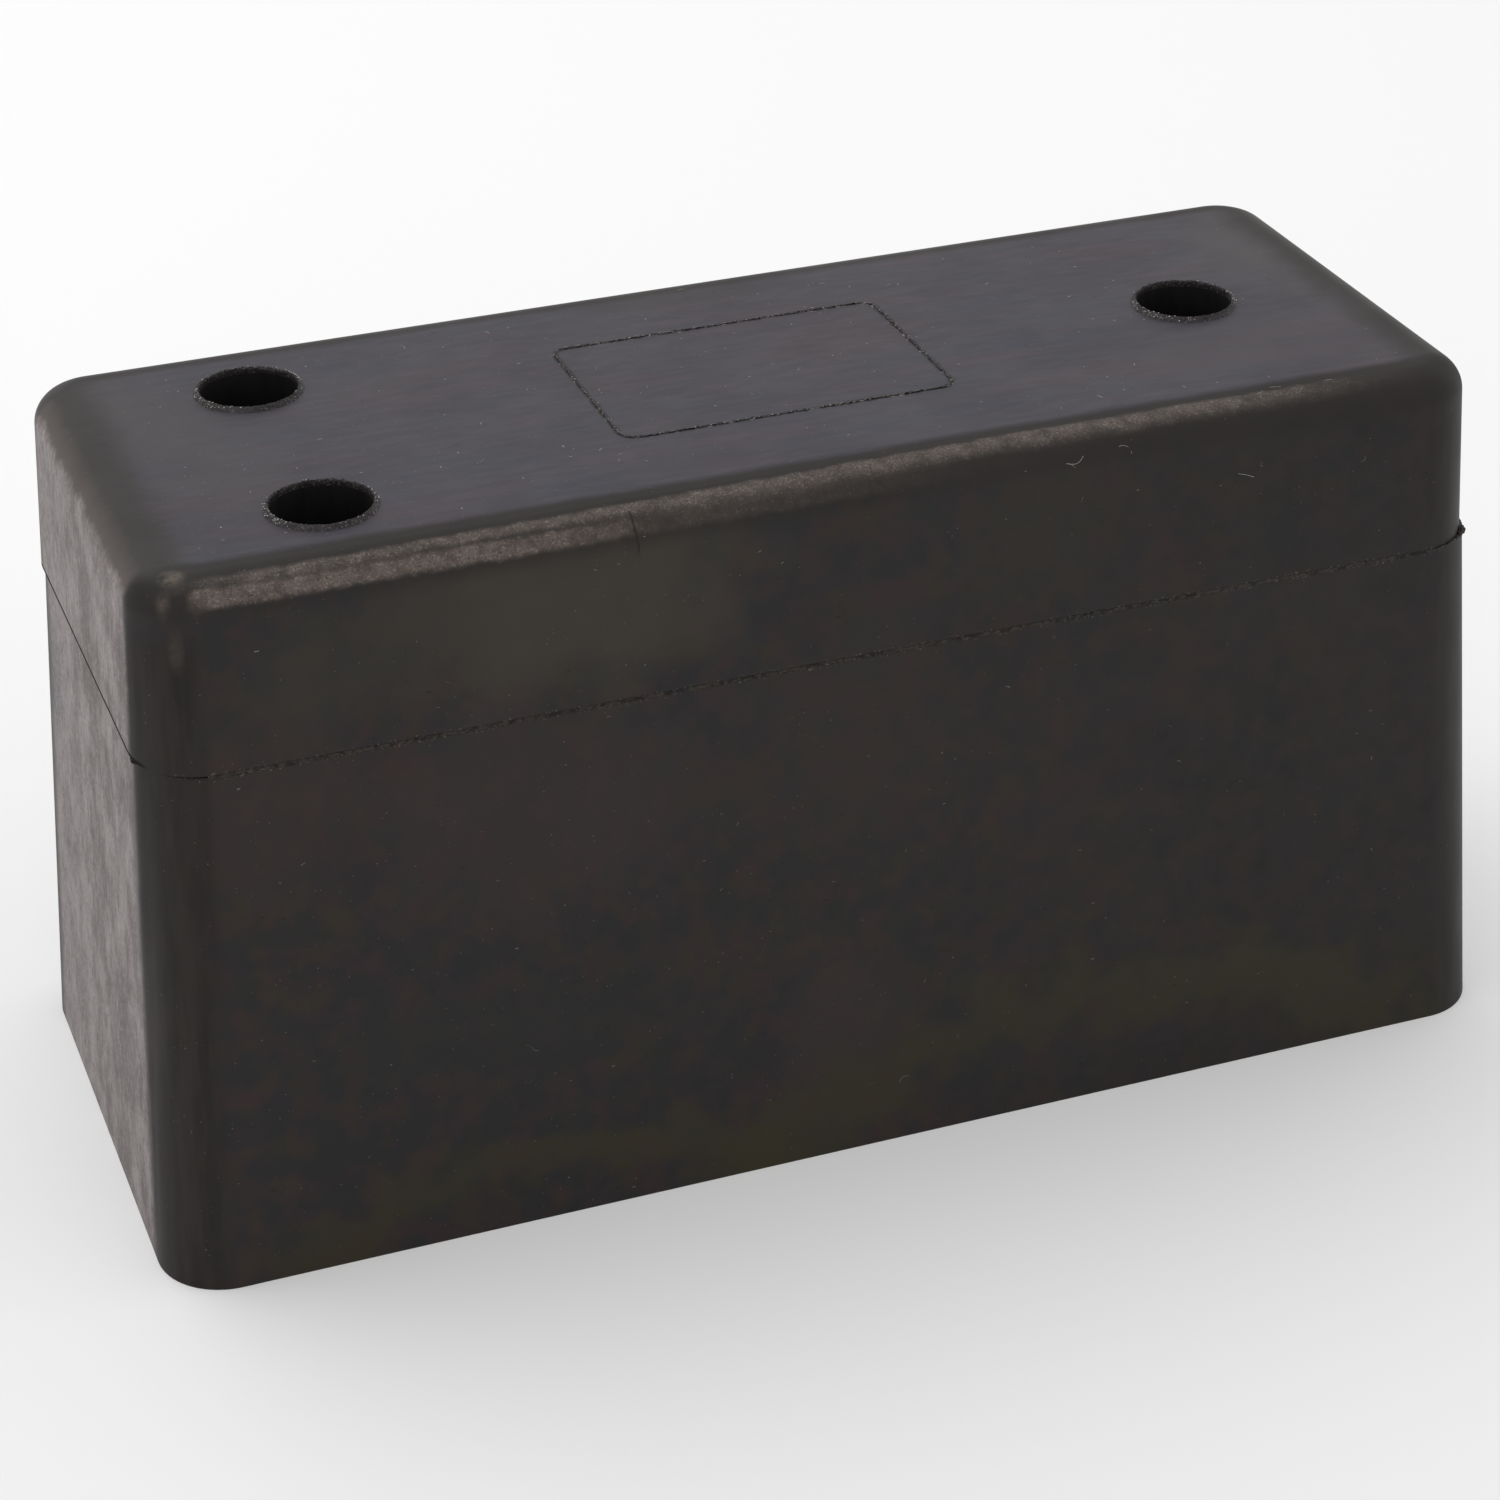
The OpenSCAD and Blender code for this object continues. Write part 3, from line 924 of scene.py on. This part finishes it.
# The low foot of each lip is darkened all round as a painted contact shadow.
painted_foot_shadow = fade(tree, ragged_z, contact_height + 0.00040, contact_height + 0.00026)
colour = laid_over(tree, both(tree, painted_foot_shadow, 0.7), colour, (0.010, 0.007, 0.006))
lip_grains = [
    (0.56, 0.68, 0.7, (0.125, 0.106, 0.096)),
    (0.44, 0.34, 0.8, (0.004, 0.003, 0.003)),
]
colour = grained(tree, 1.0, crumbs, colour, lip_grains)
crest = fade(tree, z, contact_height + 0.00056, contact_height + 0.00078)
crumb = use_effect(tree, specks, Vector=where, Scale=2300.0, Share=0.30, Size=0.48)
colour = laid_over(tree, both(tree, crest, fade(tree, crumbs, 0.46, 0.54)), colour, (0.010, 0.008, 0.008))
colour = laid_over(tree, both(tree, crumb, crest), colour, (0.46, 0.43, 0.40))
height = grain_height(tree, where, 0.8, 0.5)
rubber_shader(tree, colour, 0.55, height)


def inside_mouth(face):
    return from_hole(face) < hole_radius + 0.00008 and middle(face).z < contact_height - 0.00045


give_finishes(mouth_lips, lip_skin, recess_finish_with_painted_shade, inside_mouth)
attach(mouth_lips, "root")
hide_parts("buffer_block")


# A thin raised line on the contact face bounds a bare panel, where the mould holds a changeable
# insert. The rubber crept into the joint round the insert, so the line is ragged too.
line_width = 0.00036
line_height = 0.00012
line_sunk = 0.0001
outline = round_plate(
    "panel_outline",
    panel_length + line_width,
    panel_width + line_width,
    panel_radius + line_width / 2,
    contact_height - line_sunk,
    panel_middle,
    10,
)
pick(outline, "faces", lambda face: True)
bpy.ops.mesh.inset(thickness=line_width)
bpy.ops.mesh.delete(type="FACE")
split_edges(outline, 0.0003)
pick(outline, "faces", lambda face: True)
bpy.ops.mesh.extrude_region_move(TRANSFORM_OT_translate={"value": (0, 0, line_sunk + line_height)})
bpy.ops.transform.vertex_random(offset=0.00017, uniform=0.1, normal=0, seed=31)
face_outwards(outline)
nothing_selected()
line_rubber, tree, where = start_finish("outline_rubber")
shade = use_effect(tree, clouds, Vector=where, Scale=300.0, Seed=13.0, Sharpness=1.8)
colour = laid_over(tree, shade, (0.006, 0.004, 0.005), (0.034, 0.029, 0.029))
crumbs = noise(tree, where, 2100.0, 2.0, 0.6)
line_grains = [
    (0.50, 0.43, 1.0, (0.003, 0.002, 0.002)),
    (0.58, 0.66, 0.9, (0.330, 0.300, 0.280)),
]
colour = grained(tree, 1.0, crumbs, colour, line_grains)
height = grain_height(tree, where, 0.8, 0.5)
rubber_shader(tree, colour, 0.6, height)
outline.data.materials.append(line_rubber)
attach(outline, "root")
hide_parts("buffer_block")


# Lint, hairs and crumbs of pale fibre cling to the rubber, most of them well under a millimetre long.
# Each shape of a fibre is its start, the two handles that bend it, and its end.
lint_dice = random.Random(17)
lip_foot_reach = 0.0095
fibre_shapes = [
    ((-0.5, 0.0), (-0.2, 0.05), (0.2, 0.03), (0.5, 0.0)),
    ((-0.5, 0.1), (-0.1, -0.1), (0.1, -0.15), (0.4, 0.2)),
    ((-0.5, 0.0), (-0.3, 0.3), (0.3, 0.3), (0.5, -0.1)),
    ((-0.5, -0.1), (0.0, 0.3), (0.1, -0.3), (0.5, 0.1)),
]


def draw_fibre(shape, thickness):
    """A fibre one unit long in the plane z = 0, to copy at any size."""
    nothing_selected()
    bpy.ops.curve.primitive_bezier_curve_add(radius=1, location=(0, 0, 0))
    fibre = bpy.context.active_object
    ends = fibre.data.splines[0].bezier_points
    for point, (spot, left, right) in zip(
        ends, ((shape[0], shape[0], shape[1]), (shape[3], shape[2], shape[3]))
    ):
        point.handle_left_type = "FREE"
        point.handle_right_type = "FREE"
        point.co = (*spot, 0)
        point.handle_left = (*left, 0)
        point.handle_right = (*right, 0)
    fibre.data.resolution_u = 6
    fibre.data.bevel_depth = thickness
    fibre.data.bevel_resolution = 0
    fibre.data.use_fill_caps = True
    bpy.ops.object.convert(target="MESH")
    return bpy.context.active_object


def lay_bit(pattern, spot, across, upwards, turn, length, thickness):
    """Copies a fibre or crumb onto a surface that the two directions lie in."""
    bit = pattern.copy()
    bit.data = pattern.data.copy()
    bpy.context.scene.collection.objects.link(bit)
    out = across.cross(upwards)
    facing = Matrix((across, upwards, out)).transposed() @ Matrix.Rotation(turn, 3, "Z")
    stretch = Matrix.Diagonal((length, length, thickness))
    bit.matrix_world = Matrix.Translation(spot) @ (facing @ stretch).to_4x4()
    return bit


shreds = [draw_fibre(shape, 0.05) for shape in fibre_shapes]
hairs = [draw_fibre(shape, 0.009) for shape in fibre_shapes]
nothing_selected()
bpy.ops.mesh.primitive_ico_sphere_add(subdivisions=1, radius=0.5, location=(0, 0, 0))
crumb_shape = bpy.context.active_object
patterns = shreds + hairs + [crumb_shape]

# Each side of the block that lint lies on: how many bits, a point on it, its two directions and how
# far they run.
lint_sides = [
    (95, (0.0, 0.0, contact_height), (1, 0, 0), (0, 1, 0), 0.106, 0.036),
    (55, (0.0, -0.05025, 0.0500), (1, 0, 0), (0, side_lean, 1), 0.108, 0.043),
    (22, (0.0, -0.04655, 0.1117), (1, 0, 0), (0, side_lean, 1), 0.104, 0.008),
    (60, (0.0, 0.05025, 0.0500), (-1, 0, 0), (0, -side_lean, 1), 0.108, 0.043),
    (30, (0.1220, 0.0, 0.0500), (0, 1, 0), (-side_lean, 0, 1), 0.034, 0.043),
    (16, (-0.1220, 0.0, 0.0500), (0, -1, 0), (side_lean, 0, 1), 0.034, 0.043),
]
lint_bits = []
for count, spot, across, upwards, reach_across, reach_up in lint_sides:
    across = Vector(across).normalized()
    upwards = Vector(upwards).normalized()
    for bit_number in range(count):
        place_across = lint_dice.uniform(-reach_across, reach_across)
        place_up = lint_dice.uniform(-reach_up, reach_up)
        centre = Vector(spot) + across * place_across + upwards * place_up
        from_mouth = min(math.dist(centre[:2], hole) for hole in hole_centres)
        if spot[2] == contact_height and from_mouth < lip_foot_reach:
            continue
        length = lint_dice.choice((0.00030, 0.00035, 0.00040, 0.00050, 0.00060, 0.00080))
        pattern = lint_dice.choice(shreds)
        if lint_dice.random() < 0.07:
            length = lint_dice.uniform(0.0016, 0.0030)
            pattern = lint_dice.choice(hairs)
        turn = lint_dice.uniform(0, math.tau)
        thickness = lint_dice.uniform(0.0004, 0.0009)
        lint_bits.append(lay_bit(pattern, centre, across, upwards, turn, length, thickness))

# The longer hairs caught on the long edge at -Y and beside the panel: which shape, where, how far the
# rubber has turned up there, how they lie, and how long they are.
caught_hairs = [
    (1, (0.0400, -0.0458, 0.1230), 15, 8, 0.0036),
    (0, (0.0392, -0.0459, 0.1226), 14, -38, 0.0015),
    (2, (0.0491, -0.0455, 0.1237), 22, -30, 0.0026),
    (0, (0.0715, -0.0464, 0.1154), 3, -20, 0.0032),
    (0, (0.0410, -0.0464, 0.1163), 3, 75, 0.0010),
    (1, (0.0940, -0.0465, 0.1145), 3, 40, 0.0013),
    (3, (0.0763, -0.0406, 0.1275), 84, 20, 0.0016),
    (0, (0.0798, -0.0395, 0.1275), 90, -15, 0.0020),
    (1, (0.0832, -0.0420, 0.1272), 70, 30, 0.0018),
    (0, (0.0895, -0.0402, 0.1275), 88, 5, 0.0015),
    (0, (0.0251, 0.0322, 0.1276), 90, 0, 0.0012),
    (1, (0.0362, 0.0272, 0.1276), 90, 40, 0.0012),
    (0, (0.0004, 0.0391, 0.1276), 90, 10, 0.0012),
]
hair_thickness = 0.0030
for shape_number, spot, turned_up, lie, length in caught_hairs:
    turned_up = math.radians(turned_up)
    upwards = Vector((0, math.sin(turned_up), math.cos(turned_up)))
    bit = lay_bit(
        hairs[shape_number],
        Vector(spot),
        Vector((1, 0, 0)),
        upwards,
        math.radians(lie),
        length,
        hair_thickness,
    )
    lint_bits.append(bit)

# Pale crumbs of torn rubber sit on the lips, most of them towards -X and +X.
crumb_height = contact_height + 0.00086
crest_reach = 0.0088
fall = 0.85
for centre in hole_centres:
    for crumb_number in range(64):
        turn = lint_dice.choice((0, math.pi, math.pi * 1.15)) + lint_dice.gauss(0, 0.50)
        reach = lint_dice.uniform(0.0086, lip_foot_reach)
        size = lint_dice.uniform(0.00010, 0.00028)
        spot = Vector((
            centre[0] + reach * math.cos(turn),
            centre[1] + reach * math.sin(turn),
            crumb_height - max(0.0, reach - crest_reach) * fall,
        ))
        lint_bits.append(
            lay_bit(crumb_shape, spot, Vector((1, 0, 0)), Vector((0, 1, 0)), turn * 7, size, size * 0.7)
        )
lint = join_pieces("lint", lint_bits)
bpy.ops.object.transform_apply(location=True, rotation=True, scale=True)
for pattern in patterns:
    bpy.data.objects.remove(pattern, do_unlink=True)
pale_fibre, tree, where = start_finish("pale_fibre")
z = node(tree, "SeparateXYZ", Vector=where).outputs[2]
shade = use_effect(tree, clouds, Vector=where, Scale=260.0, Seed=3.0, Sharpness=1.3)
colour = laid_over(tree, both(tree, shade, shade), (0.07, 0.062, 0.055), (0.26, 0.245, 0.22))
high_up = fade(tree, z, 0.1130, 0.1150)
colour = laid_over(tree, both(tree, high_up, 0.7), colour, (0.62, 0.60, 0.55))
height = grain_height(tree, where, 0.3, 0.2)
rubber_shader(tree, colour, 0.8, height)
lint.data.materials.append(pale_fibre)
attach(lint, "root")
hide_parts("buffer_block")


# The studio: a plain white floor under an even white surround, with one large soft lamp above and
# behind the block. What is seen straight, or in a reflection, is a little brighter, so it runs to white.
nothing_selected()
bpy.ops.mesh.primitive_plane_add(size=8, location=(0, 0, 0))
floor = bpy.context.active_object
floor.name = "studio_floor"
studio_white, tree = start_material("studio_white")


def seen_rays(tree):
    """On for what the camera sees, straight, in a reflection or through glass."""
    rays = node(tree, "LightPath").outputs
    seen = reckon(tree, "MAXIMUM", rays["Is Camera Ray"], rays["Is Glossy Ray"])
    return reckon(tree, "MAXIMUM", seen, rays["Is Transmission Ray"])


paint = node(
    tree,
    "BsdfPrincipled",
    Base_Color=(0.8, 0.8, 0.8),
    Roughness=0.9,
    Emission_Color=(1.0, 1.0, 1.0),
)
feed(tree, paint.inputs["Emission Strength"], reckon(tree, "MULTIPLY", seen_rays(tree), 0.12))
tree.links.new(paint.outputs[0], node(tree, "OutputMaterial").inputs[0])
floor.data.materials.append(studio_white)

world = bpy.data.worlds.new("studio")
bpy.context.scene.world = world
world.use_nodes = True
tree = world.node_tree
surround = tree.nodes["Background"].inputs
surround["Color"].default_value = (1, 1, 1, 1)
feed(tree, surround["Strength"], reckon(tree, "MULTIPLY_ADD", seen_rays(tree), 0.15, 0.85))

lamp_data = bpy.data.lights.new("soft_lamp", "AREA")
lamp_data.shape = "DISK"
lamp_data.size = 1.4
lamp_data.energy = 7
lamp = bpy.data.objects.new("soft_lamp", lamp_data)
lamp.location = (-0.5, 0.7, 1.5)
lamp.rotation_euler = (Vector((0, 0, 0)) - lamp.location).to_track_quat("-Z", "Y").to_euler()
bpy.context.scene.collection.objects.link(lamp)

# The camera stands where the photograph was taken from: above the contact face and to the left.
turn = math.radians(-19.922)
rise = math.radians(29.377)
tilt = math.radians(-0.812)
aim = Vector((-0.00175, 0, 0.0529))
distance = 0.67394
back = Vector((math.sin(turn) * math.cos(rise), -math.cos(turn) * math.cos(rise), math.sin(rise)))
level_right = Vector((math.cos(turn), math.sin(turn), 0))
right = math.cos(tilt) * level_right + math.sin(tilt) * back.cross(level_right)
up = back.cross(right)
camera_data = bpy.data.cameras.new("camera")
camera_data.lens = 88.86
camera_data.sensor_width = 36
camera = bpy.data.objects.new("camera", camera_data)
bpy.context.scene.collection.objects.link(camera)
place = Matrix((right, up, back)).transposed().to_4x4()
place.translation = aim + back * distance
camera.matrix_world = place
bpy.context.scene.camera = camera
bpy.context.scene.view_settings.view_transform = "Standard"

nothing_selected()
